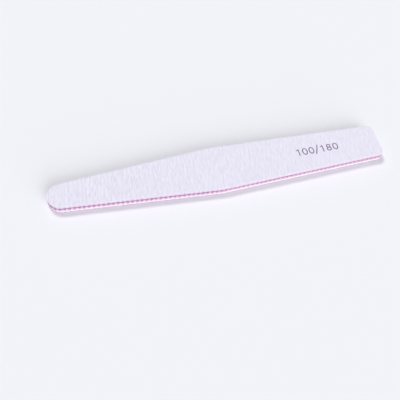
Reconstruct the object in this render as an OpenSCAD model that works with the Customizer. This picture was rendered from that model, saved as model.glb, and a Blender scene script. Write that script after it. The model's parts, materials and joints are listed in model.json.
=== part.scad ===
// Emery board: a tapered laminate with a stiff plastic core, a thin foam pad on
// each face and coated abrasive paper outside. It lies on its fine face, so +Z is
// up through the layers and +X runs along the board towards its wide end. The
// origin is on the lower face, under the middle of the length.

/* [Outline] */
// Length of the board from tip to tip
board_length = 178; // [140:1:220]
// Width across the belly, where the two tapers would meet in a point
belly_width = 26.5; // [22:0.5:36]
// Distance of the belly from the narrow tip
belly_position = 87; // [70:1:110]
// Width of the wide end, measured where the sides would meet the end line
wide_end_width = 19.4; // [15:0.2:22]
// Radius of the narrow tip, which is a full round
narrow_tip_radius = 7; // [5:0.5:9]
// Radius of the two corners of the wide end
wide_corner_radius = 3; // [1:0.5:5]
// Radius that blends the two tapers at the belly
belly_blend_radius = 50; // [10:5:120]

/* [Layers] */
// Thickness of the plastic core
core_thickness = 2; // [1.6:0.1:3.5]
// Thickness of the tape film between the core and a foam pad
core_tape_thickness = 0.1; // [0.05:0.01:0.3]
// Thickness of each foam pad
foam_thickness = 1; // [0.5:0.1:3]
// Thickness of the tape film between a foam pad and its paper
paper_tape_thickness = 0.1; // [0.05:0.01:0.3]
// Thickness of the backing paper that carries the abrasive
paper_thickness = 0.25; // [0.1:0.01:0.5]
// Thickness of the resin coat that bonds the grains to the paper
bond_thickness = 0.05; // [0.02:0.01:0.15]
// Height of the coarse grains on the upper face
coarse_grit_height = 0.15; // [0.08:0.01:0.3]
// Height of the fine grains on the lower face
fine_grit_height = 0.1; // [0.05:0.01:0.2]

/* [Cut edge] */
// Distance from one tooth of the core's rim to the next
tooth_pitch = 2.4; // [2.2:0.1:5]
// Width and height of the round notch between two teeth
notch_width = 2; // [1:0.1:2.3]
// Depth of a notch into the rim, at its middle
notch_depth = 0.55; // [0.1:0.05:0.8]
// Height of a notch's middle above the core's lower face, which cuts its lowest part off
notch_rise = 0.4; // [0:0.05:0.5]
// How far the middle of a foam pad's edge is drawn in
foam_draw_in = 0.15; // [0:0.01:0.4]

/* [Hidden] */

// Steps along each arc of the outline
TIP_STEPS = 14;
CORNER_STEPS = 8;
BELLY_STEPS = 4;
// Rings of the foam edge, counted from one face of the pad to the other
FOAM_EDGE_STEPS = 4;
// Facets round the ball that scoops a notch
NOTCH_FACETS = 32;

// Heights of the layers, from the lower face up
Z_LOWER_BOND = fine_grit_height;
Z_LOWER_PAPER = Z_LOWER_BOND + bond_thickness;
Z_LOWER_PAPER_TAPE = Z_LOWER_PAPER + paper_thickness;
Z_LOWER_FOAM = Z_LOWER_PAPER_TAPE + paper_tape_thickness;
Z_LOWER_CORE_TAPE = Z_LOWER_FOAM + foam_thickness;
Z_CORE = Z_LOWER_CORE_TAPE + core_tape_thickness;
Z_UPPER_CORE_TAPE = Z_CORE + core_thickness;
Z_UPPER_FOAM = Z_UPPER_CORE_TAPE + core_tape_thickness;
Z_UPPER_PAPER_TAPE = Z_UPPER_FOAM + foam_thickness;
Z_UPPER_PAPER = Z_UPPER_PAPER_TAPE + paper_tape_thickness;
Z_UPPER_BOND = Z_UPPER_PAPER + paper_thickness;
Z_UPPER_GRIT = Z_UPPER_BOND + bond_thickness;

// The +Y side of the outline is three arcs joined by two straight tapers.
// All centres are measured from the middle of the board.
TIP_X = -board_length / 2;
END_X = board_length / 2;
BELLY_CORNER = [TIP_X + belly_position, belly_width / 2];
TIP_CENTRE = [TIP_X + narrow_tip_radius, 0];

// Slope of the narrow taper, the line from the belly corner that touches the tip arc
TO_CORNER = BELLY_CORNER - TIP_CENTRE;
NARROW_SLOPE = atan2(TO_CORNER.y, TO_CORNER.x) - asin(narrow_tip_radius / norm(TO_CORNER));

// Slope of the wide taper, which falls from the belly corner to the end line
WIDE_SLOPE = atan2(wide_end_width / 2 - BELLY_CORNER.y, END_X - BELLY_CORNER.x);

// Centre of the belly arc, inside the belly corner and touching both tapers
BELLY_MID_ANGLE = 90 + (NARROW_SLOPE + WIDE_SLOPE) / 2;
BELLY_HALF_TURN = (NARROW_SLOPE - WIDE_SLOPE) / 2;
BELLY_CENTRE = BELLY_CORNER
    - belly_blend_radius / cos(BELLY_HALF_TURN) * [cos(BELLY_MID_ANGLE), sin(BELLY_MID_ANGLE)];

// Centre of the wide end's corner arc, touching the wide taper and the end line
CORNER_X = END_X - wide_corner_radius;
CORNER_CENTRE = [
    CORNER_X,
    BELLY_CORNER.y + tan(WIDE_SLOPE) * (CORNER_X - BELLY_CORNER.x) - wide_corner_radius / cos(WIDE_SLOPE)
];

// Points along an arc, both ends included
function arc(centre, radius, from, to, steps) = [
    for (i = [0 : steps])
        let (angle = from + (to - from) * i / steps)
            centre + radius * [cos(angle), sin(angle)]
];

// The +Y side from the narrow tip to the wide end, drawn in by an inset
function upper_side(inset) = concat(
    arc(TIP_CENTRE, narrow_tip_radius - inset, 180, 90 + NARROW_SLOPE, TIP_STEPS),
    arc(BELLY_CENTRE, belly_blend_radius - inset, 90 + NARROW_SLOPE, 90 + WIDE_SLOPE, BELLY_STEPS),
    arc(CORNER_CENTRE, wide_corner_radius - inset, 90 + WIDE_SLOPE, 0, CORNER_STEPS)
);

// The whole outline, anticlockwise from the narrow tip: the mirrored side runs out
// to the wide end and the +Y side comes back, without a second point at the tip
function outline(inset = 0) =
    let (side = upper_side(inset))
        concat(
            [for (p = side) [p.x, -p.y]],
            [for (i = [len(side) - 1 : -1 : 1]) side[i]]
        );

// Distance round a closed outline at which each point lies, and its whole length last
function distances(points) = [
    for (
        i = 0, total = 0;
        i <= len(points);
        total = total + norm(points[(i + 1) % len(points)] - points[i % len(points)]),
        i = i + 1
    )
        total
];

// Place on a closed outline at a distance round it, moved outwards by an offset
function rim_place(points, reached, distance, offset) =
    let (
        i = [for (k = [0 : len(points) - 1]) if (reached[k + 1] > distance) k][0],
        start = points[i],
        side = points[(i + 1) % len(points)] - start,
        along = side / norm(side)
    )
        start + along * (distance - reached[i]) + offset * [along.y, -along.x];

// Flat layer of the full outline
module layer(bottom, thickness) {
    translate([0, 0, bottom])
        linear_extrude(thickness)
            polygon(outline());
}

// Plastic core whose rim has a row of teeth along its lower part. A ball that stands
// mostly outside the rim scoops each notch, so a whole bar is left above the teeth.
module core_board() {
    rim = outline();
    reached = distances(rim);
    perimeter = reached[len(rim)];
    tooth_count = round(perimeter / tooth_pitch);
    ball_radius = (pow(notch_width / 2, 2) + pow(notch_depth, 2)) / (2 * notch_depth);
    stand_off = ball_radius - notch_depth;
    color([0.74, 0.50, 0.74])
        difference() {
            layer(Z_CORE, core_thickness);
            for (i = [0 : tooth_count - 1]) {
                place = rim_place(rim, reached, (i + 0.5) * perimeter / tooth_count, stand_off);
                translate([place.x, place.y, Z_CORE + notch_rise])
                    sphere(ball_radius, $fn = NOTCH_FACETS);
            }
        }
}

// Foam pad whose edge is drawn in between its two faces
module foam_pad(bottom) {
    count = len(outline());
    points = [
        for (k = [0 : FOAM_EDGE_STEPS])
            let (
                share = k / FOAM_EDGE_STEPS,
                inset = foam_draw_in * sin(180 * share)
            )
                for (p = outline(inset)) [p.x, p.y, bottom + foam_thickness * share]
    ];
    sides = [
        for (k = [0 : FOAM_EDGE_STEPS - 1], i = [0 : count - 1])
            let (
                j = (i + 1) % count,
                low = k * count,
                high = low + count
            )
                [low + i, high + i, high + j, low + j]
    ];
    lower_face = [for (i = [0 : count - 1]) i];
    upper_face = [for (i = [count - 1 : -1 : 0]) FOAM_EDGE_STEPS * count + i];
    color([0.97, 0.91, 0.97])
        polyhedron(points, concat(sides, [lower_face, upper_face]));
}

module tape(bottom, thickness) {
    color([0.93, 0.92, 0.90])
        layer(bottom, thickness);
}

module backing_paper(bottom) {
    color([0.83, 0.80, 0.85])
        layer(bottom, paper_thickness);
}

module bond_coat(bottom) {
    color([0.80, 0.78, 0.83])
        layer(bottom, bond_thickness);
}

module grit(bottom, height) {
    color([0.90, 0.89, 0.95])
        layer(bottom, height);
}

module upper_core_tape() tape(Z_UPPER_CORE_TAPE, core_tape_thickness);
module lower_core_tape() tape(Z_LOWER_CORE_TAPE, core_tape_thickness);
module upper_foam_pad() foam_pad(Z_UPPER_FOAM);
module lower_foam_pad() foam_pad(Z_LOWER_FOAM);
module upper_paper_tape() tape(Z_UPPER_PAPER_TAPE, paper_tape_thickness);
module lower_paper_tape() tape(Z_LOWER_PAPER_TAPE, paper_tape_thickness);
module upper_backing_paper() backing_paper(Z_UPPER_PAPER);
module lower_backing_paper() backing_paper(Z_LOWER_PAPER);
module upper_bond_coat() bond_coat(Z_UPPER_BOND);
module lower_bond_coat() bond_coat(Z_LOWER_BOND);
module upper_grit() grit(Z_UPPER_GRIT, coarse_grit_height);
module lower_grit() grit(0, fine_grit_height);

core_board();
upper_core_tape();
lower_core_tape();
upper_foam_pad();
lower_foam_pad();
upper_paper_tape();
lower_paper_tape();
upper_backing_paper();
lower_backing_paper();
upper_bond_coat();
lower_bond_coat();
upper_grit();
lower_grit();
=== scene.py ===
"""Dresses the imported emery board: grain, foam, cut edges, print, studio and camera."""

import json
import logging
import math
from dataclasses import dataclass, field
from enum import Enum
from typing import ClassVar

import bmesh
import bpy
from mathutils import Color, Matrix, Vector, noise
from mathutils.bvhtree import BVHTree

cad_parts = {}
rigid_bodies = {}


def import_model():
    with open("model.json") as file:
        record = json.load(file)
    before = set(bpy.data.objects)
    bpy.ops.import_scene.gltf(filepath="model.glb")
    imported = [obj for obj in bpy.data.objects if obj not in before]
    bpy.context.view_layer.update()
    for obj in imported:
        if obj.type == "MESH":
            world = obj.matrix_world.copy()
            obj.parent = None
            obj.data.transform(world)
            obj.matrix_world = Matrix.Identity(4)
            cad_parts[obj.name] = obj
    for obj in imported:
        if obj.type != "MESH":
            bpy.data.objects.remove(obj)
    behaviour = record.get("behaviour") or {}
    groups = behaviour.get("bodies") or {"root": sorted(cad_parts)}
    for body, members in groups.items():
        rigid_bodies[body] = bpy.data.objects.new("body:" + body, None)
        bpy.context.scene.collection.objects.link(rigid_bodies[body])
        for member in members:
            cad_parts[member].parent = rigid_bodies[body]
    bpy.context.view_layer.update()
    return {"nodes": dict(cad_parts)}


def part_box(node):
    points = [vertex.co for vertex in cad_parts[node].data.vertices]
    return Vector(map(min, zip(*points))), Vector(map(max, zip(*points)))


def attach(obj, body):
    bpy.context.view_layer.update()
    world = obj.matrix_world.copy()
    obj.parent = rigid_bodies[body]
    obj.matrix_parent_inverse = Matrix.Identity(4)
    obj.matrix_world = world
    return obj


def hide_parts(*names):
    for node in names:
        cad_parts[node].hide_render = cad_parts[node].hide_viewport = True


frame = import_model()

log = logging.getLogger("emery_board")

MM = 0.001
BODY = "root"
IMAGE_PIXELS = 400

# Edges that turn by more than this stay sharp, unless a piece says otherwise
SHARP_DEGREES = 60

# Point attributes that the cut edges give their materials
SMEAR = "smear"
WHITENING = "whitening"

Colour = tuple[float, float, float]
Socket = bpy.types.NodeSocket


class Side(Enum):
    """The two working faces of the board."""

    UPPER = "upper"
    LOWER = "lower"

    def node(self, part: str) -> str:
        """Name of a part on this side, as the CAD nodes are named."""
        return f"{self.value}_{part}"


def linear(colour: Colour) -> tuple[float, float, float, float]:
    """Turns a display colour into a shader colour.

    Args:
        colour: Red, green and blue from 0 to 255, as a screen shows them.

    Returns:
        The linear red, green and blue with an alpha of 1.
    """
    display = Color([channel / 255 for channel in colour])
    return (*display.from_srgb_to_scene_linear(), 1.0)


def smooth_step(low: float, high: float, value: float) -> float:
    """Rises smoothly from 0 at low to 1 at high.

    Args:
        low: Value at which the step starts.
        high: Value at which the step ends.
        value: Value to look up.

    Returns:
        The height of the step, from 0 to 1.
    """
    share = min(max((value - low) / (high - low), 0.0), 1.0)
    return share * share * (3 - 2 * share)


def spread(low: float, high: float, steps: int) -> list[float]:
    """Even places from low to high, both included."""
    return [low + (high - low) * i / steps for i in range(steps + 1)]


def rough(distance: float, height: float, size: float, seed: float) -> float:
    """Smooth noise round the rim, from -1 to 1, whose lumps have the given size."""
    return noise.noise(Vector((distance / size, height / size, seed)))


def raised(level: float) -> float:
    """Moves a noise level from the range -1 to 1 to the range 0 to 1."""
    return 0.5 + 0.5 * level


# Outline

@dataclass(frozen=True)
class Taper:
    """Straight stretch of the outline's +Y side, walked towards the wide end."""

    start: Vector
    end: Vector

    def length(self) -> float:
        """Length of the stretch."""
        return (self.end - self.start).length

    def at(self, distance: float) -> tuple[Vector, Vector]:
        """Point at a distance from the start, and the outward normal there."""
        along = (self.end - self.start).normalized()
        return self.start + along * distance, Vector((-along.y, along.x))

    def inside(self, point: Vector) -> float:
        """How far a point lies inside the stretch's line."""
        along = (self.end - self.start).normalized()
        return (self.start - point).dot(Vector((-along.y, along.x)))


@dataclass(frozen=True)
class Bend:
    """Arc of the outline's +Y side, walked clockwise from its first angle to its last."""

    centre: Vector
    radius: float
    first: float
    last: float

    def length(self) -> float:
        """Length of the arc."""
        return self.radius * (self.first - self.last)

    def at(self, distance: float) -> tuple[Vector, Vector]:
        """Finds a point on the arc.

        Args:
            distance: How far the point lies from the start, along the arc.

        Returns:
            The point and the outward normal there.
        """
        angle = self.first - distance / self.radius
        outward = Vector((math.cos(angle), math.sin(angle)))
        return self.centre + outward * self.radius, outward

    def inside(self, point: Vector) -> float | None:
        """Measures how far a point lies inside the arc.

        Args:
            point: Any point of the board.

        Returns:
            The distance, or nothing where the point isn't in the arc's sector.
        """
        spoke = point - self.centre
        if spoke.length == 0 or not self.last <= math.atan2(spoke.y, spoke.x) <= self.first:
            return None
        return self.radius - spoke.length


@dataclass
class BoardOutline:
    """Die-cut outline: a round narrow tip, two tapers that meet at the belly, a square wide end."""

    length: float
    belly_width: float = 26.5 * MM
    belly_position: float = 87 * MM
    wide_end_width: float = 19.4 * MM
    tip_radius: float = 7 * MM
    corner_radius: float = 3 * MM
    belly_blend_radius: float = 50 * MM
    stretches: list[Taper | Bend] = field(init=False)

    def __post_init__(self) -> None:
        """Works out the arcs and tapers of the +Y side."""
        tip_x, end_x = -self.length / 2, self.length / 2
        belly = Vector((tip_x + self.belly_position, self.belly_width / 2))
        tip = Vector((tip_x + self.tip_radius, 0))
        to_belly = belly - tip
        narrow = math.atan2(to_belly.y, to_belly.x) - math.asin(self.tip_radius / to_belly.length)
        wide = math.atan2(self.wide_end_width / 2 - belly.y, end_x - belly.x)
        middle = math.pi / 2 + (narrow + wide) / 2
        reach = self.belly_blend_radius / math.cos((narrow - wide) / 2)
        blend = belly - reach * Vector((math.cos(middle), math.sin(middle)))
        corner_x = end_x - self.corner_radius
        drop = math.tan(wide) * (corner_x - belly.x) - self.corner_radius / math.cos(wide)
        corner = Vector((corner_x, belly.y + drop))
        right = math.pi / 2
        tip_bend = Bend(tip, self.tip_radius, math.pi, right + narrow)
        belly_bend = Bend(blend, self.belly_blend_radius, right + narrow, right + wide)
        corner_bend = Bend(corner, self.corner_radius, right + wide, 0)
        self.stretches = [
            tip_bend,
            Taper(tip_bend.at(tip_bend.length())[0], belly_bend.at(0)[0]),
            belly_bend,
            Taper(belly_bend.at(belly_bend.length())[0], corner_bend.at(0)[0]),
            corner_bend,
            Taper(Vector((end_x, corner.y)), Vector((end_x, 0))),
        ]

    def side_length(self) -> float:
        """Distance along the +Y side from the narrow tip to the middle of the wide end."""
        return sum(stretch.length() for stretch in self.stretches)

    def perimeter(self) -> float:
        """Distance all round the board."""
        return 2 * self.side_length()

    def at(self, distance: float) -> tuple[Vector, Vector]:
        """Walks round the rim, out along the -Y side from the narrow tip and back along +Y.

        Args:
            distance: How far to walk from the narrow tip.

        Returns:
            The point reached and the outward normal there.
        """
        side = self.side_length()
        mirrored = distance < side
        left = distance if mirrored else 2 * side - distance
        for stretch in self.stretches:
            if left <= stretch.length() or stretch is self.stretches[-1]:
                point, outward = stretch.at(max(left, 0.0))
                break
            left -= stretch.length()
        if mirrored:
            return Vector((point.x, -point.y)), Vector((outward.x, -outward.y))
        return point, outward

    def columns(self, step: float) -> list[tuple[float, float]]:
        """Cuts the board into columns that meet the rim at even distances.

        Args:
            step: Distance along the rim from one column to the next.

        Returns:
            The place along the board and the half width of each column.
        """
        reach = self.side_length() - self.stretches[-1].length()
        count = round(reach / step)
        points = [self.at(self.perimeter() - reach * i / count)[0] for i in range(count)]
        last = self.stretches[-1].start
        return [(p.x, p.y) for p in points] + [(last.x, last.y)]

    def rim_distance(self, x: float, y: float) -> float:
        """Measures how far inside the rim a point of the board lies.

        Args:
            x: Place along the board.
            y: Place across it.

        Returns:
            The distance from the nearest stretch of the rim.
        """
        point = Vector((x, abs(y)))
        found = [stretch.inside(point) for stretch in self.stretches]
        return max(min(value for value in found if value is not None), 0.0)


@dataclass
class ToothRow:
    """Even row of teeth that the die left round the rim, with a notch between each two.

    The die bit fully as far as full_bite from the narrow tip, and least beyond light_bite.
    """

    outline: BoardOutline
    pitch: float = 2.4 * MM
    full_bite: float = 84 * MM
    light_bite: float = 98 * MM
    lightest: float = 0.34

    def count(self) -> int:
        """Number of teeth round the rim."""
        return round(self.outline.perimeter() / self.pitch)

    def nearest(self, distance: float) -> tuple[int, float]:
        """Finds the nearest notch.

        Args:
            distance: Distance round the rim from the narrow tip.

        Returns:
            The notch's number and the distance from its middle.
        """
        step = self.outline.perimeter() / self.count()
        index = math.floor(distance / step)
        return index, distance - (index + 0.5) * step

    def bite(self, distance: float) -> float:
        """How hard the die bit there: 1 on the narrow half, less on the wide half."""
        from_tip = min(distance, self.outline.perimeter() - distance)
        return 1 - (1 - self.lightest) * smooth_step(self.full_bite, self.light_bite, from_tip)

    def toothness(self, distance: float) -> float:
        """Rises smoothly from 0 in the middle of a notch to 1 on a tooth."""
        step = self.outline.perimeter() / self.count()
        return 0.5 - 0.5 * math.cos(2 * math.pi * self.nearest(distance)[1] / step)

    def crest(self, distance: float) -> float:
        """Weight of a mark that the die left on the teeth, from 0 to 1."""
        return self.toothness(distance) * self.bite(distance)

    def groove(self, distance: float) -> float:
        """Weight of a mark that the die left between the teeth, from 0 to 1."""
        return (1 - self.toothness(distance)) * self.bite(distance)


# Shader helpers

@dataclass(frozen=True)
class Ramp:
    """Level that goes evenly from start to end while a value goes from first to last."""

    first: float
    last: float
    start: float
    end: float


@dataclass(frozen=True)
class Surface:
    """What a finish gives its shader. A colour that is the same all over is a plain value."""

    colour: Socket | tuple[float, ...]
    roughness: Socket
    height: Socket | None = None


class Nodes:
    """Adds nodes to one shader tree and links them."""

    def __init__(self, tree: bpy.types.NodeTree) -> None:
        """Keeps the tree."""
        self.tree = tree

    def add(self, kind: str, inputs: dict | None = None, **settings: object) -> bpy.types.Node:
        """Adds a node.

        Args:
            kind: Blender's name of the node type, without the ShaderNode prefix.
            inputs: A value or an output socket for each named or numbered input.
            settings: The node's own properties.

        Returns:
            The new node.
        """
        node = self.tree.nodes.new("ShaderNode" + kind)
        for name, value in settings.items():
            setattr(node, name, value)
        for name, value in (inputs or {}).items():
            if isinstance(value, Socket):
                self.tree.links.new(value, node.inputs[name])
            else:
                node.inputs[name].default_value = value
        return node

    def maths(self, operation: str, *values: object) -> Socket:
        """Result of a Math node on values or sockets."""
        return self.add("Math", dict(enumerate(values)), operation=operation).outputs[0]

    def blend(self, amount: Socket, first: object, second: object) -> Socket:
        """Mix of two colours, of which the second shows by the amount, from 0 to 1."""
        return self.add("Mix", {0: amount, 6: first, 7: second}, data_type="RGBA").outputs[2]

    def ramp(self, value: Socket, ramp: Ramp) -> Socket:
        """Level that a ramp gives for each value."""
        ends = {1: ramp.first, 2: ramp.last, 3: ramp.start, 4: ramp.end}
        return self.add("MapRange", {0: value, **ends}).outputs[0]


# Kinds of the effects' sockets; those not named here are plain numbers
SOCKET_KINDS = {"Place": "Vector", "Colour": "Color", "Dust": "Color"}


def new_group(
    name: str, inputs: tuple[str, ...], outputs: tuple[str, ...]
) -> tuple[Nodes, dict[str, Socket], dict[str, Socket]]:
    """Starts a shader node group.

    Args:
        name: Name of the group.
        inputs: Names of its inputs.
        outputs: Names of its outputs.

    Returns:
        The group's nodes, its input sockets by name and its output sockets by name.
    """
    tree = bpy.data.node_groups.new(name, "ShaderNodeTree")
    for direction, labels in (("INPUT", inputs), ("OUTPUT", outputs)):
        for label in labels:
            kind = "NodeSocket" + SOCKET_KINDS.get(label, "Float")
            tree.interface.new_socket(label, in_out=direction, socket_type=kind)
    start = tree.nodes.new("NodeGroupInput")
    end = tree.nodes.new("NodeGroupOutput")
    return Nodes(tree), {s.name: s for s in start.outputs}, {s.name: s for s in end.inputs}


class Effects:
    """Shader node groups that several finishes share, each built once."""

    def __init__(self) -> None:
        """Builds the five groups."""
        self.streaks = self._streaks()
        self.ripples = self._ripples()
        self.cells = self._cells()
        self.mottle = self._mottle()
        self.smear = self._smear()

    @staticmethod
    def _streaks() -> bpy.types.NodeTree:
        """Long thin marks across the board, as the anti-clog coat and cut fibres leave.

        Returns:
            The group.
        """
        nodes, given, out = new_group("streaks", ("Place", "Width", "Length", "Seed"), ("Fac",))
        sizes = nodes.add("CombineXYZ", {0: given["Width"], 1: given["Length"], 2: given["Width"]})
        ends = {0: given["Place"], 1: sizes.outputs[0]}
        scaled = nodes.add("VectorMath", ends, operation="DIVIDE").outputs[0]
        seed = nodes.add("CombineXYZ", {2: given["Seed"]}).outputs[0]
        moved = nodes.add("VectorMath", {0: scaled, 1: seed}, operation="ADD").outputs[0]
        settings = {"Scale": 1.0, "Detail": 1.0, "Roughness": 0.5, "Distortion": 0.0}
        texture = nodes.add("TexNoise", {"Vector": moved, **settings})
        nodes.tree.links.new(texture.outputs["Fac"], out["Fac"])
        return nodes.tree

    @staticmethod
    def _ripples() -> bpy.types.NodeTree:
        """Uneven ripples across the board, a spacing apart, as a coating roller leaves.

        Returns:
            The group.
        """
        nodes, given, out = new_group("ripples", ("Place", "Spacing"), ("Fac",))
        waves = 1.8
        scale = nodes.maths("DIVIDE", 1 / waves, given["Spacing"])
        settings = {"Scale": scale, "Frequency": waves, "Anisotropy": 0.95, "Orientation": 0.0}
        texture = nodes.add("TexGabor", {"Vector": given["Place"], **settings})
        nodes.tree.links.new(texture.outputs["Value"], out["Fac"])
        return nodes.tree

    @staticmethod
    def _cells() -> bpy.types.NodeTree:
        """Packed round cells: grains, or the open bubbles of cut foam.

        Returns:
            The group.
        """
        nodes, given, out = new_group("cells", ("Place", "Size"), ("Dome", "Tint"))
        settings = {"Scale": nodes.maths("DIVIDE", 1.0, given["Size"]), "Randomness": 1.0}
        texture = nodes.add("TexVoronoi", {"Vector": given["Place"], **settings})
        dome = nodes.ramp(texture.outputs["Distance"], Ramp(0.0, 0.75, 1.0, 0.0))
        tint = nodes.add("SeparateColor", {0: texture.outputs["Color"]})
        nodes.tree.links.new(dome, out["Dome"])
        nodes.tree.links.new(tint.outputs[0], out["Tint"])
        return nodes.tree

    @staticmethod
    def _mottle() -> bpy.types.NodeTree:
        """Soft uneven patches of any size.

        Returns:
            The group.
        """
        nodes, given, out = new_group("mottle", ("Place", "Size"), ("Fac",))
        scale = nodes.maths("DIVIDE", 1.0, given["Size"])
        settings = {"Scale": scale, "Detail": 4.0, "Roughness": 0.6}
        texture = nodes.add("TexNoise", {"Vector": given["Place"], **settings})
        nodes.tree.links.new(texture.outputs["Fac"], out["Fac"])
        return nodes.tree

    @staticmethod
    def _smear() -> bpy.types.NodeTree:
        """Patchy dust of the purple core over another colour.

        Returns:
            The group.
        """
        nodes, given, out = new_group("smear", ("Colour", "Dust", "Place", "Amount"), ("Colour",))
        settings = {"Scale": 1.4, "Detail": 2.0, "Roughness": 0.6}
        texture = nodes.add("TexNoise", {"Vector": given["Place"], **settings})
        patches = nodes.ramp(texture.outputs["Fac"], Ramp(0.35, 0.65, 0.6, 1.4))
        amount = nodes.maths("MULTIPLY", given["Amount"], patches)
        nodes.tree.links.new(nodes.blend(amount, given["Colour"], given["Dust"]), out["Colour"])
        return nodes.tree


class FinishNodes(Nodes):
    """Nodes of one finish, which lay the shared effects out on the piece in millimetres."""

    def __init__(self, tree: bpy.types.NodeTree, effects: Effects) -> None:
        """Keeps the effects and reads the object coordinates.

        Args:
            tree: The material's tree.
            effects: The shared node groups.
        """
        super().__init__(tree)
        self.effects = effects
        where = self.add("TexCoord").outputs["Object"]
        self.place = self.add("VectorMath", {0: where, 3: 1 / MM}, operation="SCALE").outputs[0]

    def effect(self, tree: bpy.types.NodeTree, **inputs: object) -> bpy.types.NodeOutputs:
        """Places a shared group, which reads the object coordinates unless it is given others."""
        return self.add("Group", {"Place": self.place, **inputs}, node_tree=tree).outputs

    def patches(self, size: float) -> Socket:
        """Mask of soft uneven patches that have the given size."""
        return self.effect(self.effects.mottle, Size=size)["Fac"]

    def cells(self, size: float) -> bpy.types.NodeOutputs:
        """Dome and tint of packed round cells that have the given size."""
        return self.effect(self.effects.cells, Size=size)


# Finishes. Their sizes are in millimetres.

@dataclass(frozen=True)
class Finish:
    """Base of every finish: a named material around one Principled shader."""

    name: str
    specular: float = 0.5
    relief: float = 0.03
    bumpiness: float = 0.5

    def build(self, effects: Effects) -> bpy.types.Material:
        """Builds the material.

        Args:
            effects: The shared node groups.

        Returns:
            The material.
        """
        material = bpy.data.materials.new(self.name)
        material.use_nodes = True
        material.node_tree.nodes.clear()
        nodes = FinishNodes(material.node_tree, effects)
        surface = self.surface(nodes)
        inputs = {"Base Color": surface.colour, "Roughness": surface.roughness}
        if surface.height is not None:
            depth = self.relief * MM
            bump = {"Strength": self.bumpiness, "Distance": depth, "Height": surface.height}
            inputs["Normal"] = nodes.add("Bump", bump).outputs[0]
        shader = nodes.add("BsdfPrincipled", {"Specular IOR Level": self.specular, **inputs})
        nodes.add("OutputMaterial", {"Surface": shader.outputs[0]})
        return material

    def surface(self, nodes: FinishNodes) -> Surface:
        """Makes the colour, roughness and height; each finish has its own way."""
        raise NotImplementedError


@dataclass(frozen=True)
class AbrasiveFinish(Finish):
    """Grains under a pale anti-clog coat, which dries in fine streaks across the board.

    The streaks stand out most at the narrow tip and fade towards the wide end.
    """

    specular: float = 0.12
    relief: float = 0.045
    bumpiness: float = 0.55
    coat: Colour = (231, 228, 244)
    streak: Colour = (221, 218, 235)
    clear: Colour = (243, 240, 255)
    grain_size: float = 0.15
    patch_size: float = 14.0
    streak_width: float = 0.34
    streak_length: float = 3.4
    streak_seed: float = 3.0
    streak_relief: float = 0.6
    ripple_spacing: float = 2.2
    coating_turn: float = math.radians(8)
    contrast_along: Ramp = Ramp(-65.0, 50.0, 1.0, 0.6)
    ripple_tone: Ramp = Ramp(0.3, 0.7, -0.45, 0.45)
    middle_tone: float = 0.5
    streak_cover: Ramp = Ramp(0.46, 0.67, 0.0, 0.92)
    speckle_cover: Ramp = Ramp(0.75, 1.0, 0.0, 0.22)
    patch_cover: Ramp = Ramp(0.5, 0.75, 0.0, 0.06)
    grain_roughness: Ramp = Ramp(0.0, 1.0, 0.62, 0.82)

    def surface(self, nodes: FinishNodes) -> Surface:
        """Lays ripples, streaks and the grains' own tints over the coat.

        Args:
            nodes: The material's nodes.

        Returns:
            The surface.
        """
        effects = nodes.effects
        turn = {"Vector": nodes.place, "Angle": self.coating_turn}
        across = nodes.add("VectorRotate", turn, rotation_type="Z_AXIS").outputs[0]
        sizes = {"Width": self.streak_width, "Length": self.streak_length, "Seed": self.streak_seed}
        streaks = nodes.effect(effects.streaks, Place=across, **sizes)["Fac"]
        ripples = nodes.effect(effects.ripples, Place=across, Spacing=self.ripple_spacing)["Fac"]
        grains = nodes.cells(self.grain_size)
        along = nodes.add("SeparateXYZ", {0: nodes.place}).outputs[0]
        contrast = nodes.ramp(along, self.contrast_along)
        tone = nodes.ramp(ripples, self.ripple_tone)
        tone = nodes.maths("MULTIPLY_ADD", tone, contrast, self.middle_tone)
        colour = nodes.blend(tone, linear(self.coat), linear(self.clear))
        covers = (
            nodes.maths("MULTIPLY", nodes.ramp(streaks, self.streak_cover), contrast),
            nodes.ramp(grains["Tint"], self.speckle_cover),
            nodes.ramp(nodes.patches(self.patch_size), self.patch_cover),
        )
        for cover in covers:
            colour = nodes.blend(cover, colour, linear(self.streak))
        ridges = nodes.maths("MULTIPLY", streaks, self.streak_relief)
        height = nodes.maths("ADD", grains["Dome"], ridges)
        return Surface(colour, nodes.ramp(grains["Tint"], self.grain_roughness), height)


@dataclass(frozen=True)
class DustedFinish(Finish):
    """Base of the finishes of a cut edge that the die dusted with the core's plastic."""

    dust: Colour = (200, 166, 199)

    def dusted(self, nodes: FinishNodes, colour: Socket) -> Socket:
        """Lays the core's dust over a colour, as much as the mesh's own attribute says.

        Args:
            nodes: The material's nodes.
            colour: The colour below the dust.

        Returns:
            The mixed colour.
        """
        amount = nodes.add("Attribute", attribute_name=SMEAR).outputs["Fac"]
        layers = {"Colour": colour, "Dust": linear(self.dust), "Amount": amount}
        return nodes.effect(nodes.effects.smear, **layers)["Colour"]


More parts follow.
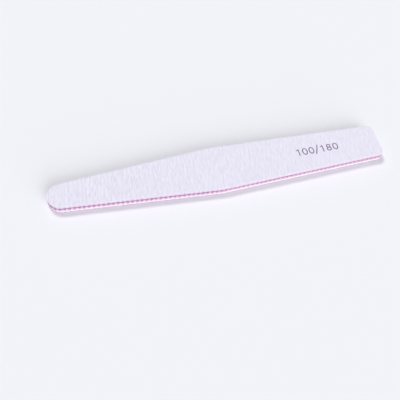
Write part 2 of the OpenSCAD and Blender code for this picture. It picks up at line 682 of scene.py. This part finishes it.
@dataclass(frozen=True)
class PaperFinish(DustedFinish):
    """Cut edge of latex-treated backing paper, with short pale fibres."""

    specular: float = 0.25
    bumpiness: float = 0.6
    dust: Colour = (190, 160, 188)
    paper: Colour = (207, 184, 206)
    fibre: Colour = (226, 203, 226)
    fibre_size: float = 0.5
    fibre_seed: float = 5.0
    patch_size: float = 0.12
    fibre_cover: Ramp = Ramp(0.4, 0.65, 0.0, 1.0)
    patch_roughness: Ramp = Ramp(0.3, 0.7, 0.8, 0.95)

    def surface(self, nodes: FinishNodes) -> Surface:
        """Lays pale fibres and the core's dust over the paper.

        Args:
            nodes: The material's nodes.

        Returns:
            The surface.
        """
        sizes = {"Width": self.fibre_size, "Length": self.fibre_size, "Seed": self.fibre_seed}
        fibres = nodes.effect(nodes.effects.streaks, **sizes)["Fac"]
        cover = nodes.ramp(fibres, self.fibre_cover)
        colour = nodes.blend(cover, linear(self.paper), linear(self.fibre))
        patches = nodes.patches(self.patch_size)
        roughness = nodes.ramp(patches, self.patch_roughness)
        return Surface(self.dusted(nodes, colour), roughness, patches)


@dataclass(frozen=True)
class FoamFinish(DustedFinish):
    """White closed-cell foam whose cut edge shows opened bubbles."""

    specular: float = 0.3
    relief: float = 0.06
    bumpiness: float = 0.7
    # The pink tint of these white foam colours is painted light: the core's purple, bounced onto
    # the foam and shining through it.
    foam: Colour = (255, 242, 251)
    pore: Colour = (252, 230, 246)
    pore_size: float = 0.22
    patch_size: float = 2.5
    pore_cover: Ramp = Ramp(0.35, 0.95, 0.0, 0.7)
    patch_cover: Ramp = Ramp(0.5, 0.8, 0.0, 0.3)
    pore_roughness: Ramp = Ramp(0.0, 1.0, 0.75, 0.9)

    def surface(self, nodes: FinishNodes) -> Surface:
        """Darkens and dents the bubbles, and smears the core's dust along the teeth.

        Args:
            nodes: The material's nodes.

        Returns:
            The surface.
        """
        pores = nodes.cells(self.pore_size)
        hollow = nodes.ramp(pores["Dome"], self.pore_cover)
        colour = nodes.blend(hollow, linear(self.foam), linear(self.pore))
        cover = nodes.ramp(nodes.patches(self.patch_size), self.patch_cover)
        colour = self.dusted(nodes, nodes.blend(cover, colour, linear(self.pore)))
        height = nodes.maths("SUBTRACT", 1.0, pores["Dome"])
        return Surface(colour, nodes.ramp(pores["Tint"], self.pore_roughness), height)


@dataclass(frozen=True)
class CoreFinish(Finish):
    """Purple sheet plastic, whitened where the toothed die bruised it."""

    specular: float = 0.45
    relief: float = 0.02
    plastic: Colour = (158, 120, 156)
    deep: Colour = (142, 102, 140)
    whitened: Colour = (228, 202, 224)
    patch_size: float = 1.2
    drag_size: float = 0.25
    drag_seed: float = 7.0
    patch_cover: Ramp = Ramp(0.4, 0.65, 0.0, 1.0)
    drag_frost: Ramp = Ramp(0.35, 0.65, -0.15, 0.15)
    frost_cover: Ramp = Ramp(0.05, 0.9, 0.0, 1.0)
    frost_roughness: Ramp = Ramp(0.0, 1.0, 0.42, 0.75)

    def surface(self, nodes: FinishNodes) -> Surface:
        """Mixes the bruised colour in by the mesh's own attribute.

        Args:
            nodes: The material's nodes.

        Returns:
            The surface.
        """
        bruise = nodes.add("Attribute", attribute_name=WHITENING).outputs["Fac"]
        sizes = {"Width": self.drag_size, "Length": self.drag_size, "Seed": self.drag_seed}
        drag = nodes.effect(nodes.effects.streaks, **sizes)["Fac"]
        cover = nodes.ramp(nodes.patches(self.patch_size), self.patch_cover)
        plastic = nodes.blend(cover, linear(self.plastic), linear(self.deep))
        frost = nodes.maths("ADD", bruise, nodes.ramp(drag, self.drag_frost))
        frost = nodes.ramp(frost, self.frost_cover)
        colour = nodes.blend(frost, plastic, linear(self.whitened))
        return Surface(colour, nodes.ramp(frost, self.frost_roughness), drag)


@dataclass(frozen=True)
class FilmFinish(Finish):
    """Cut edge of a thin clear tape film."""

    relief: float = 0.01
    bumpiness: float = 0.4
    film: Colour = (240, 226, 240)
    dust: Colour = (222, 208, 224)
    dust_size: float = 0.3
    patch_size: float = 1.0
    dust_cover: Ramp = Ramp(0.5, 1.0, 0.0, 0.8)
    patch_roughness: Ramp = Ramp(0.35, 0.7, 0.35, 0.65)

    def surface(self, nodes: FinishNodes) -> Surface:
        """Speckles the film with the dust that sticks to its cut edge.

        Args:
            nodes: The material's nodes.

        Returns:
            The surface.
        """
        specks = nodes.cells(self.dust_size)
        cover = nodes.ramp(specks["Tint"], self.dust_cover)
        colour = nodes.blend(cover, linear(self.film), linear(self.dust))
        roughness = nodes.ramp(nodes.patches(self.patch_size), self.patch_roughness)
        return Surface(colour, roughness, specks["Dome"])


@dataclass(frozen=True)
class ResinFinish(FilmFinish):
    """Cut edge of the thin resin coat under the grains."""

    film: Colour = (226, 220, 234)
    dust: Colour = (208, 202, 218)
    dust_size: float = 0.15


@dataclass(frozen=True)
class InkFinish(Finish):
    """Thin stamped ink that lets pale grains show through."""

    specular: float = 0.3
    relief: float = 0.04
    bumpiness: float = 0.4
    ink: Colour = (91, 75, 110)
    worn: Colour = (148, 135, 166)
    grain_size: float = AbrasiveFinish.grain_size
    patch_size: float = 0.8
    patch_wear: Ramp = Ramp(0.3, 0.7, 0.3, 1.0)
    grain_roughness: Ramp = Ramp(0.0, 1.0, 0.55, 0.75)

    def surface(self, nodes: FinishNodes) -> Surface:
        """Thins the ink over single grains.

        Args:
            nodes: The material's nodes.

        Returns:
            The surface.
        """
        grains = nodes.cells(self.grain_size)
        wear = nodes.ramp(nodes.patches(self.patch_size), self.patch_wear)
        thin = nodes.maths("MULTIPLY", grains["Tint"], wear)
        colour = nodes.blend(thin, linear(self.ink), linear(self.worn))
        return Surface(colour, nodes.ramp(grains["Tint"], self.grain_roughness), grains["Dome"])


@dataclass(frozen=True)
class TableFinish(Finish):
    """Plain pale tabletop of one even matt colour, with a faint unevenness in its sheen."""

    specular: float = 0.05
    table: Colour = (242, 243, 249)
    patch_size: float = 60.0
    patch_roughness: Ramp = Ramp(0.3, 0.7, 0.85, 0.95)

    def surface(self, nodes: FinishNodes) -> Surface:
        """Flat surface of the table's colour, with the sheen's patches."""
        roughness = nodes.ramp(nodes.patches(self.patch_size), self.patch_roughness)
        return Surface(linear(self.table), roughness)


# Pieces

def finish_mesh(
    name: str,
    bm: bmesh.types.BMesh,
    material: bpy.types.Material,
    sharp_degrees: float = SHARP_DEGREES,
) -> bpy.types.Object:
    """Turns a bmesh into a dressed, smooth-shaded object at the origin.

    Args:
        name: Name of the piece.
        bm: The finished bmesh, which is freed.
        material: The piece's material.
        sharp_degrees: Edges that turn by more than this stay sharp.

    Returns:
        The new object, linked to the scene.
    """
    bmesh.ops.recalc_face_normals(bm, faces=bm.faces)
    mesh = bpy.data.meshes.new(name)
    bm.to_mesh(mesh)
    bm.free()
    mesh.shade_smooth()
    mesh.set_sharp_from_angle(angle=math.radians(sharp_degrees))
    mesh.materials.append(material)
    piece = bpy.data.objects.new(name, mesh)
    bpy.context.scene.collection.objects.link(piece)
    return piece


def place_piece(piece: bpy.types.Object, slot: str, node: str) -> bpy.types.Object:
    """Rides a new piece on the board in the place of a CAD node.

    Args:
        piece: The new piece.
        slot: The record's material slot of the piece; not used.
        node: The CAD node that it stands for.

    Returns:
        The piece.
    """
    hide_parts(node)
    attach(piece, BODY)
    return piece


def dress_node(name: str, material: bpy.types.Material) -> bpy.types.Object:
    """Gives a CAD node a material in place of its plain one.

    Args:
        name: Name of the node.
        material: The new material.

    Returns:
        The node's object.
    """
    node = frame["nodes"][name]
    for socket in node.material_slots:
        socket.material = material
    return node


@dataclass
class CutLayer:
    """Layer of the board in the place of a CAD node: a closed slab with a die-cut rim."""

    node: ClassVar[str]
    piece: ClassVar[str]
    slot: ClassVar[str]
    mark: ClassVar[str] = SMEAR
    sharp_degrees: ClassVar[float] = SHARP_DEGREES

    teeth: ToothRow
    finish: Finish
    side: Side | None = None
    segments_per_tooth: int = 8
    rings: int = 8
    low: float = field(init=False)
    high: float = field(init=False)

    def __post_init__(self) -> None:
        """Takes the heights of the layer's faces from its CAD node."""
        low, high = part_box(self.named(self.node))
        self.low, self.high = low.z, high.z

    def named(self, part: str) -> str:
        """Name of the layer's node or piece, which begins with its side if it has one."""
        return self.side.node(part) if self.side else part

    def inset(self, distance: float, height: float) -> float:
        """How far the rim is drawn in at a place; each layer has its own way."""
        raise NotImplementedError

    def marking(self, distance: float, height: float) -> float:
        """Value of the layer's mark at a place on the rim; each layer has its own way."""
        raise NotImplementedError

    def slab(self) -> bmesh.types.BMesh:
        """Builds the layer ring by ring, from its lower face to its upper one.

        Returns:
            The slab, with its mark as a point attribute.
        """
        outline = self.teeth.outline
        segments = self.teeth.count() * self.segments_per_tooth
        bm = bmesh.new()
        rim = bm.verts.layers.float.new("rim")
        mark = bm.verts.layers.float.new(self.mark)
        ring = bmesh.ops.create_circle(bm, cap_ends=False, segments=segments, radius=1)["verts"]
        for i, vert in enumerate(ring):
            vert[rim] = outline.perimeter() * i / segments
        edges = list(bm.edges)
        bmesh.ops.edgeloop_fill(bm, edges=edges)
        for level, height in enumerate(spread(self.low, self.high, self.rings)):
            if level:
                grown = bmesh.ops.extrude_edge_only(bm, edges=edges)["geom"]
                ring = [part for part in grown if isinstance(part, bmesh.types.BMVert)]
                edges = [part for part in grown if isinstance(part, bmesh.types.BMEdge)]
            for vert in ring:
                point, outward = outline.at(vert[rim])
                place = point - outward * self.inset(vert[rim], height)
                vert.co = (place.x, place.y, height)
                vert[mark] = self.marking(vert[rim], height)
        bmesh.ops.edgeloop_fill(bm, edges=edges)
        return bm

    def build(self, effects: Effects) -> list[bpy.types.Object]:
        """Builds and dresses the layer.

        Args:
            effects: The shared node groups.

        Returns:
            The layer's one piece.
        """
        name, material = self.named(self.piece), self.finish.build(effects)
        piece = finish_mesh(name, self.slab(), material, self.sharp_degrees)
        return [place_piece(piece, self.slot, self.named(self.node))]


@dataclass
class PaperSheet(CutLayer):
    """Backing paper with a slightly frayed edge, fluted between the die's teeth."""

    node: ClassVar[str] = "backing_paper"
    piece: ClassVar[str] = "paper_sheet"
    slot: ClassVar[str] = "backing_paper"

    segments_per_tooth: int = 7
    rings: int = 3
    fray: float = 0.03 * MM
    fray_size: float = 0.35 * MM
    flute: float = 0.03 * MM
    smear: float = 0.3

    def inset(self, distance: float, height: float) -> float:
        """Depth of the fraying and of the shallow flutes."""
        fray = self.fray * raised(rough(distance, height, self.fray_size, self.low / MM))
        return fray + self.flute * self.teeth.groove(distance)

    def marking(self, distance: float, height: float) -> float:
        """Core dust that the die dragged over the paper, alike at every height."""
        return self.smear * self.teeth.crest(distance)


@dataclass
class FoamPad(CutLayer):
    """One thin foam cushion, glued on both faces, so only its cut edge can draw in and bulge."""

    node: ClassVar[str] = "foam_pad"
    piece: ClassVar[str] = "foam_cushion"
    slot: ClassVar[str] = "foam"

    draw_in: float = 0.15 * MM
    lumps: float = 0.05 * MM
    lumps_at_faces: float = 0.025 * MM
    lump_size: float = 0.5 * MM
    flute: float = 0.04 * MM
    smear_at_core: float = 0.9
    smear_at_paper: float = 0.35

    def inset(self, distance: float, height: float) -> float:
        """Edge drawn in between the two glued faces, with the foam's own lumps and flutes.

        Args:
            distance: Distance round the rim from the narrow tip.
            height: Height above the table.

        Returns:
            How far the edge is drawn in.
        """
        hollow = math.sin(math.pi * (height - self.low) / (self.high - self.low))
        lump = rough(distance, height, self.lump_size, self.low / MM)
        drawn = hollow * (self.draw_in + self.lumps * lump)
        return drawn + self.lumps_at_faces * raised(lump) + self.flute * self.teeth.groove(distance)

    def marking(self, distance: float, height: float) -> float:
        """Core dust that the die dragged over the foam, which changes from the core to the paper.

        Args:
            distance: Distance round the rim from the narrow tip.
            height: Height above the table.

        Returns:
            The amount of dust.
        """
        core = self.low if self.side is Side.UPPER else self.high
        from_core = abs(height - core) / (self.high - self.low)
        amount = self.smear_at_core + (self.smear_at_paper - self.smear_at_core) * from_core
        return amount * self.teeth.crest(distance)

    def build(self, effects: Effects) -> list[bpy.types.Object]:
        """Args:
            effects: The shared node groups.

        Returns:
            The pad's one piece.
        """
        [pad] = super().build(effects)
        return [pad]


@dataclass
class CoreBoard(CutLayer):
    """Stiff plastic core. The toothed die scooped a row of round notches along its lower half.

    A notch's bruise ends between the two shares of its half width that bruise_edge gives.
    """

    node: ClassVar[str] = "core_board"
    piece: ClassVar[str] = "core_sheet"
    slot: ClassVar[str] = "core_plastic"
    mark: ClassVar[str] = WHITENING
    sharp_degrees: ClassVar[float] = 50

    segments_per_tooth: int = 20
    rings: int = 16
    notch_width: float = 2 * MM
    notch_depth: float = 0.55 * MM
    notch_rise: float = 0.4 * MM
    width_spread: float = 0.06
    grazing: float = 0.02 * MM
    grazing_size: float = 0.3 * MM
    grazing_seed: float = 12.0
    wear: float = 0.28
    bruise_spread: float = 0.15
    bruise_edge: tuple[float, float] = (0.86, 1.08)
    bruise_fade: float = 0.25
    foot_bruise: float = 0.86
    foot_height: float = 1.25 * MM

    def notch(self, distance: float, height: float) -> tuple[float, float]:
        """Shape of the nearest notch at a place on the rim. Each notch differs a little.

        Args:
            distance: Distance round the rim from the narrow tip.
            height: Height above the table.

        Returns:
            How deep the notch is there, and how white the bruise is, from 0 to 1.
        """
        index, offset = self.teeth.nearest(distance)
        own = noise.cell_vector(Vector((index + 0.5, 0.5, 0.5)))
        mouth = self.notch_width / 2 * (1 - self.width_spread * (1 - own.x))
        ball = (mouth**2 + self.notch_depth**2) / (2 * self.notch_depth)
        rise = height - self.low - self.notch_rise
        reach = math.hypot(offset, rise)
        depth = 0.0
        if reach < mouth:
            depth = math.sqrt(ball**2 - reach**2) - (ball - self.notch_depth)
        worn = self.wear * (1 - self.teeth.bite(distance))
        whitest = 1 - self.bruise_spread * (1 - own.y)
        inside = 1 - smooth_step(*self.bruise_edge, reach / mouth)
        inside *= 1 - self.bruise_fade * smooth_step(0.0, mouth, rise)
        foot = self.foot_bruise * (1 - smooth_step(0.0, self.foot_height, height - self.low))
        return depth, worn + (whitest - worn) * max(inside, foot)

    def inset(self, distance: float, height: float) -> float:
        """Depth of the notches, and of the slight grazing that the die left all over the rim."""
        graze = raised(rough(distance, height, self.grazing_size, self.grazing_seed))
        return self.notch(distance, height)[0] + self.grazing * graze

    def marking(self, distance: float, height: float) -> float:
        """Whiteness of the plastic, most inside the notches and along the rim's foot."""
        return self.notch(distance, height)[1]


@dataclass
class TapeFilms:
    """The four double-sided films, which show only as hairlines on the cut edge."""

    film: FilmFinish = FilmFinish("tape_film")
    tinted: FilmFinish = FilmFinish("core_side_film", film=(198, 166, 197), dust=(188, 158, 188))

    def build(self, effects: Effects) -> list[bpy.types.Object]:
        """Dresses the films, of which the one above the core takes on its tint.

        Args:
            effects: The shared node groups.

        Returns:
            The films' nodes.
        """
        film, tinted = self.film.build(effects), self.tinted.build(effects)
        clear = [side.node("paper_tape") for side in Side] + [Side.LOWER.node("core_tape")]
        nodes = [dress_node(name, film) for name in clear]
        return [*nodes, dress_node(Side.UPPER.node("core_tape"), tinted)]


@dataclass
class GrainSurface:
    """Relief of one abrasive face, measured as a depth below the tops of the highest grains."""

    outline: BoardOutline
    seed: float
    grain_depth: float
    streak_share: float = 0.5
    rim_drop: float = 0.08 * MM
    rim_reach: float = 0.45 * MM
    grain_size: float = 0.3 * MM
    streak_width: float = 0.6 * MM
    streak_length: float = 6 * MM
    streak_seed: float = 40.0

    def depth(self, x: float, y: float) -> float:
        """Looks the relief up at a place on the board.

        Args:
            x: Place along the board.
            y: Place across it.

        Returns:
            Depth of the surface below the grain tops.
        """
        grain = noise.noise(Vector((x / self.grain_size, y / self.grain_size, self.seed)))
        seed = self.seed + self.streak_seed
        streak = noise.noise(Vector((x / self.streak_width, y / self.streak_length, seed)))
        rounding = max(1 - self.outline.rim_distance(x, y) / self.rim_reach, 0.0) ** 2
        streak_depth = self.grain_depth * self.streak_share
        relief = self.grain_depth * raised(grain) + streak_depth * raised(streak)
        return relief + self.rim_drop * rounding


@dataclass
class AbrasiveSheet:
    """One face's abrasive paper: grains on a resin coat on backing paper."""

    side: Side
    teeth: ToothRow
    grains: AbrasiveFinish
    paper_edge: PaperFinish
    grain_depth: float
    column_step: float = 0.3 * MM
    rows: int = 116
    crowding: float = 0.55
    weld: float = 0.001 * MM

    def build(self, effects: Effects) -> list[bpy.types.Object]:
        """Builds the grain layer and the paper, and dresses the resin coat between them.

        Args:
            effects: The shared node groups.

        Returns:
            The two pieces and the resin's node.
        """
        grains = self.grains.build(effects)
        layer = finish_mesh(self.side.node("grain_layer"), self.grain_layer(), grains)
        place_piece(layer, self.slot(), self.side.node("grit"))
        papers = PaperSheet(self.teeth, self.paper_edge, self.side).build(effects)
        resin = ResinFinish(self.side.node("resin")).build(effects)
        return [layer, *papers, dress_node(self.side.node("bond_coat"), resin)]

    def slot(self) -> str:
        """The record's material slot of the grains."""
        return "coarse_abrasive" if self.side is Side.UPPER else "fine_abrasive"

    def grain_layer(self) -> bmesh.types.BMesh:
        """Builds the grain layer as a grid that fills the outline, with a wall down to the resin.

        The grid's rows crowd towards both rims, where the surface rounds off.

        Returns:
            The closed layer.
        """
        low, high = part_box(self.side.node("grit"))
        tops, base, inward = (high.z, low.z, -1) if self.side is Side.UPPER else (low.z, high.z, 1)
        outline = self.teeth.outline
        surface = GrainSurface(outline, seed=tops / MM, grain_depth=self.grain_depth)
        columns = outline.columns(self.column_step)
        bm = bmesh.new()
        bmesh.ops.create_grid(bm, x_segments=len(columns) - 1, y_segments=self.rows, size=1)
        for vert in bm.verts:
            x, half_width = columns[round((vert.co.x + 1) / 2 * (len(columns) - 1))]
            y = half_width * (vert.co.y + self.crowding * math.sin(math.pi * vert.co.y) / math.pi)
            vert.co = (x, y, tops + inward * surface.depth(x, y))
        bmesh.ops.remove_doubles(bm, verts=bm.verts, dist=self.weld)
        border = [edge for edge in bm.edges if edge.is_boundary]
        grown = bmesh.ops.extrude_edge_only(bm, edges=border)["geom"]
        for part in grown:
            if isinstance(part, bmesh.types.BMVert):
                part.co.z = base
        foot = [part for part in grown if isinstance(part, bmesh.types.BMEdge)]
        bmesh.ops.edgeloop_fill(bm, edges=foot)
        return bm


@dataclass(frozen=True)
class Stroke:
    """Straight pen stroke of a figure."""

    start: tuple[float, float]
    end: tuple[float, float]

    def distance(self, point: Vector) -> float:
        """Measures how far a point lies from the stroke's middle line.

        Args:
            point: Place in the figure.

        Returns:
            The distance.
        """
        start = Vector(self.start)
        along = Vector(self.end) - start
        share = min(max((point - start).dot(along) / along.length_squared, 0.0), 1.0)
        return (point - start - along * share).length


@dataclass(frozen=True)
class Ring:
    """Closed oval pen stroke of a figure."""

    centre: tuple[float, float]
    half_width: float
    half_height: float

    def distance(self, point: Vector) -> float:
        """Measures how far a point lies from the ring's middle line, to first order.

        Args:
            point: Place in the figure.

        Returns:
            The distance.
        """
        x, y = point - Vector(self.centre)
        level = (x / self.half_width) ** 2 + (y / self.half_height) ** 2 - 1
        slope = 2 * math.hypot(x / self.half_width**2, y / self.half_height**2)
        return abs(level) / max(slope, 1 / self.half_width)


# Strokes of the figures, measured in millimetres from each figure's middle
FIGURES: dict[str, tuple[Stroke | Ring, ...]] = {
    "0": (Ring((0, 0), 1.17, 1.88),),
    "1": (Stroke((0.3, -1.88), (0.3, 1.88)), Stroke((0.3, 1.88), (-0.62, 1.3))),
    "8": (Ring((0, 0.98), 0.86, 0.9), Ring((0, -0.9), 1.06, 0.98)),
    "/": (Stroke((-1.0, -2.65), (0.96, 2.75)),),
}


@dataclass
class GradePrint:
    """Generic grade figures of both faces, stamped across the grains near the wide end.

    The figures are laid out in millimetres. Only ray_start, lift and thickness are in metres.
    """

    finish: InkFinish = InkFinish("ink")
    text: str = "100/180"
    middle_x: float = 54.02
    middle_y: float = 0.26
    pen: float = 0.53
    ragged: float = 0.05
    ragged_size: float = 0.15
    advance: float = 3.65
    slash_advance: float = 2.6
    cell: float = 0.09
    tallness: float = 1.9
    ray_start: float = 1.0
    lift: float = 0.004 * MM
    thickness: float = 0.012 * MM

    def width(self, figure: str) -> float:
        """Room that a figure takes along the line."""
        return self.slash_advance if figure == "/" else self.advance

    def build(self, effects: Effects) -> list[bpy.types.Object]:
        """Stamps each figure as small cells that follow the grains, and dresses the ink.

        Args:
            effects: The shared node groups.

        Returns:
            The print's one piece.
        """
        bm = bmesh.new()
        x = self.middle_x - sum(self.width(figure) for figure in self.text) / 2
        for figure in self.text:
            x += self.width(figure) / 2
            self.stamp(bm, figure, x)
            x += self.width(figure) / 2
        self.settle(bm)
        top = bmesh.ops.extrude_face_region(bm, geom=list(bm.faces), use_keep_orig=True)["geom"]
        lifted = [part for part in top if isinstance(part, bmesh.types.BMVert)]
        bmesh.ops.translate(bm, verts=lifted, vec=(0, 0, self.thickness))
        ink = finish_mesh("grade_figures", bm, self.finish.build(effects))
        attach(ink, BODY)
        return [ink]

    def stamp(self, bm: bmesh.types.BMesh, figure: str, x: float) -> None:
        """Adds one figure as a grid from which all cells outside its strokes are cut away.

        Args:
            bm: The bmesh that takes the figure.
            figure: The figure.
            x: Place of the figure's middle along the board.
        """
        count = round(self.advance / self.cell)
        rows = round(self.tallness * count)
        grid = bmesh.ops.create_grid(bm, x_segments=count, y_segments=rows, size=self.advance / 2)
        verts = grid["verts"]
        bmesh.ops.scale(bm, vec=(1, self.tallness, 1), verts=verts)
        outside = []
        for face in {face for vert in verts for face in vert.link_faces}:
            point = face.calc_center_median().xy
            edge = Vector((point.x / self.ragged_size, point.y / self.ragged_size, x))
            reach = self.pen / 2 + self.ragged * noise.noise(edge)
            if min(stroke.distance(point) for stroke in FIGURES[figure]) > reach:
                outside.append(face)
        bmesh.ops.delete(bm, geom=outside, context="FACES")
        kept = [vert for vert in verts if vert.is_valid]
        bmesh.ops.scale(bm, vec=(MM, MM, MM), verts=kept)
        bmesh.ops.translate(bm, vec=(x * MM, self.middle_y * MM, 0), verts=kept)

    def settle(self, bm: bmesh.types.BMesh) -> None:
        """Drops every point of the figures onto the grains of the upper face.

        Args:
            bm: The bmesh that holds the figures.
        """
        grains = bpy.data.objects[Side.UPPER.node("grain_layer")]
        tree = BVHTree.FromObject(grains, bpy.context.evaluated_depsgraph_get())
        for vert in bm.verts:
            above = Vector((vert.co.x, vert.co.y, self.ray_start))
            vert.co.z = tree.ray_cast(above, Vector((0, 0, -1)))[0].z + self.lift


# Studio

@dataclass(frozen=True)
class SoftLamp:
    """Far soft box, which gives the same light all over the table."""

    name: str
    towards: tuple[float, float, float]
    share: float
    spread_degrees: float

    def build(self) -> None:
        """Hangs the lamp so that it gives a level white surface its share of the light."""
        direction = Vector(self.towards).normalized()
        data = bpy.data.lights.new(self.name, "SUN")
        data.angle = math.radians(self.spread_degrees)
        data.energy = self.share * math.pi / direction.z
        lamp = bpy.data.objects.new(self.name, data)
        lamp.rotation_euler = (-direction).to_track_quat("-Z", "Y").to_euler()
        bpy.context.scene.collection.objects.link(lamp)


@dataclass
class Studio:
    """Plain table, an even pale surround and two soft lamps. The shares of light add up to 1."""

    finish: TableFinish = TableFinish("table")
    table_size: float = 6.0
    gap: float = 0.02 * MM
    surround: float = 0.3
    lamps: tuple[SoftLamp, ...] = (
        SoftLamp("key", towards=(-0.2, 0.55, 1.0), share=0.44, spread_degrees=20),
        SoftLamp("fill", towards=(0.3, -1.0, 0.38), share=0.26, spread_degrees=50),
    )

    def build(self, effects: Effects) -> None:
        """Makes the table, the surround and the lamps.

        Args:
            effects: The shared node groups.
        """
        bm = bmesh.new()
        bmesh.ops.create_grid(bm, x_segments=1, y_segments=1, size=self.table_size / 2)
        bmesh.ops.translate(bm, verts=bm.verts, vec=(0, 0, -self.gap))
        table = finish_mesh("table", bm, self.finish.build(effects))
        self.sky()
        for lamp in self.lamps:
            lamp.build()

    def sky(self) -> None:
        """Lights the board evenly, and shows plain white to the camera and in reflections."""
        world = bpy.data.worlds.new("surround")
        world.use_nodes = True
        world.node_tree.nodes.clear()
        nodes = Nodes(world.node_tree)
        path = nodes.add("LightPath").outputs
        seen = nodes.maths("MAXIMUM", path["Is Camera Ray"], path["Is Glossy Ray"])
        seen = nodes.maths("MAXIMUM", seen, path["Is Transmission Ray"])
        strength = nodes.ramp(seen, Ramp(0.0, 1.0, self.surround, 1.0))
        sky = nodes.add("Background", {"Color": (1.0, 1.0, 1.0, 1.0), "Strength": strength})
        nodes.add("OutputWorld", {"Surface": sky.outputs[0]})
        bpy.context.scene.world = world


@dataclass
class PhotoCamera:
    """Camera at the photograph's viewing angle.

    Angles are in degrees, lengths in metres and the sensor's width in millimetres.
    """

    azimuth: float = 17.59
    elevation: float = 57.55
    roll: float = 4.44
    distance: float = 307.1 * MM
    target: Vector = field(default_factory=lambda: Vector((-14.72, -17.51, 5.25)) * MM)
    focal_pixels: float = 613.0
    sensor: float = 36.0
    clip_start: float = 0.01

    def build(self) -> None:
        """Makes the camera the scene's own."""
        turn, lift = math.radians(self.azimuth), math.radians(self.elevation)
        level = Vector((math.sin(turn), math.cos(turn), 0))
        ahead = level * math.cos(lift) - Vector((0, 0, math.sin(lift)))
        data = bpy.data.cameras.new("camera")
        data.sensor_width = self.sensor
        data.lens = self.focal_pixels / IMAGE_PIXELS * self.sensor
        data.clip_start = self.clip_start
        camera = bpy.data.objects.new("camera", data)
        upright = ahead.to_track_quat("-Z", "Y").to_matrix()
        rolled = upright @ Matrix.Rotation(math.radians(self.roll), 3, "Z")
        place = Matrix.Translation(self.target - ahead * self.distance)
        camera.matrix_world = place @ rolled.to_4x4()
        bpy.context.scene.collection.objects.link(camera)
        bpy.context.scene.camera = camera


def main() -> None:
    """Builds the board's sub-assemblies in order and reports each piece, then builds the studio."""
    logging.basicConfig(level=logging.INFO, format="%(name)s: %(message)s")
    bpy.context.scene.view_settings.view_transform = "Standard"
    PhotoCamera().build()
    effects = Effects()
    low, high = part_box("core_board")
    teeth = ToothRow(BoardOutline(length=high.x - low.x))
    # The upper pad is the same white foam as the lower one; its darker foam and pore colours are
    # painted shade.
    upper_foam = FoamFinish("upper_foam", foam=(230, 212, 229), pore=(218, 195, 217))
    lower_foam = FoamFinish("lower_foam")
    coarse = AbrasiveFinish("coarse_abrasive")
    fine = AbrasiveFinish("fine_abrasive", grain_size=0.09, relief=0.027)
    upper_edge = PaperFinish("upper_paper_edge")
    # The lower paper is the same paper as the upper one; its darker paper and fibre colours are
    # painted shade along the bottom of the cut edge.
    lower_edge_painted_shade = PaperFinish("lower_paper_edge_painted_shade", paper=(160, 146, 158), fibre=(184, 170, 182))
    assemblies = (
        CoreBoard(teeth, CoreFinish("core_plastic")),
        TapeFilms(),
        FoamPad(teeth, upper_foam, Side.UPPER),
        FoamPad(teeth, lower_foam, Side.LOWER, smear_at_core=0.12, smear_at_paper=0.4),
        AbrasiveSheet(Side.UPPER, teeth, coarse, upper_edge, grain_depth=0.03 * MM),
        AbrasiveSheet(Side.LOWER, teeth, fine, lower_edge_painted_shade, grain_depth=0.018 * MM),
        GradePrint(),
    )
    for assembly in assemblies:
        for piece in assembly.build(effects):
            finish = piece.material_slots[0].material.name
            log.info("%s: %d faces, finish %s", piece.name, len(piece.data.polygons), finish)
    Studio().build(effects)


if __name__ == "__main__":
    main()
